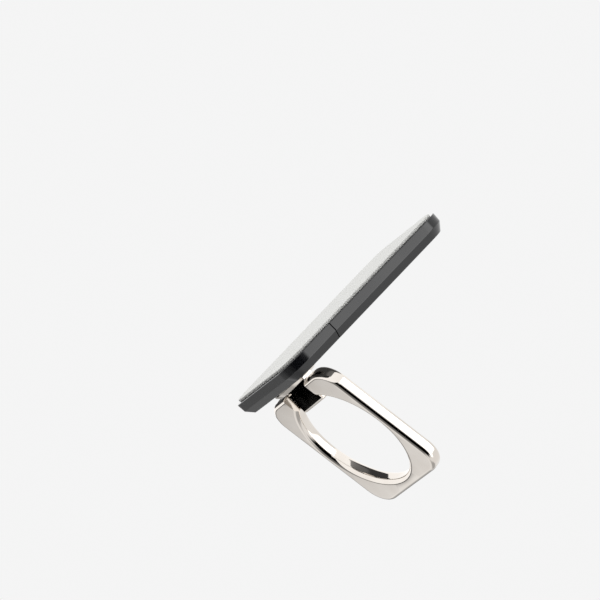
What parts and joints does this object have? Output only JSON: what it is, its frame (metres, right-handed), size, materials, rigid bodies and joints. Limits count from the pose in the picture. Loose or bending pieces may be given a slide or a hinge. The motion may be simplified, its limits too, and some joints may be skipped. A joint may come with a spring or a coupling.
{
  "type": "phone ring holder",
  "caption": "Flat dark plate that sticks to the back of a phone, with a polished metal finger ring that swivels and folds and props the phone up as a stand.",
  "frame": {"origin": "centre of the adhesive face, which lies in z = 0", "axes": "+Z out of the plate, +Y along the plate from the ring's pivot to its plain end, X across the width"},
  "size_m": [0.036, 0.043, 0.0331],
  "materials": {
    "adhesive_pad": "soft clear gel",
    "base_plastic": "moulded",
    "cover_plastic": "glossy moulded",
    "polished_nickel": "polished",
    "spring_steel": "plain",
    "pin_steel": "ground"
  },
  "bodies": {
    "holder": {"adhesive_pad": "adhesive_pad", "base_plate": "base_plastic", "main_cover": "cover_plastic", "end_cover": "cover_plastic", "spring_washer": "spring_steel"},
    "swivel": {"swivel_base": "polished_nickel", "retaining_washer": "spring_steel", "hinge_pin": "pin_steel"},
    "ring": {"ring": "polished_nickel"}
  },
  "joints": [
    {"name": "swivel_turn", "type": "hinge", "parent": "holder", "child": "swivel", "pos_m": [0, -0.015, 0.0049], "axis": [0, 0, 1], "continuous": true},
    {"name": "ring_tilt", "type": "hinge", "parent": "swivel", "child": "ring", "pos_m": [-0.00007, -0.01555, 0.00659], "axis": [0.9914, -0.1305, 0], "range_deg": [-82, 98]}
  ]
}
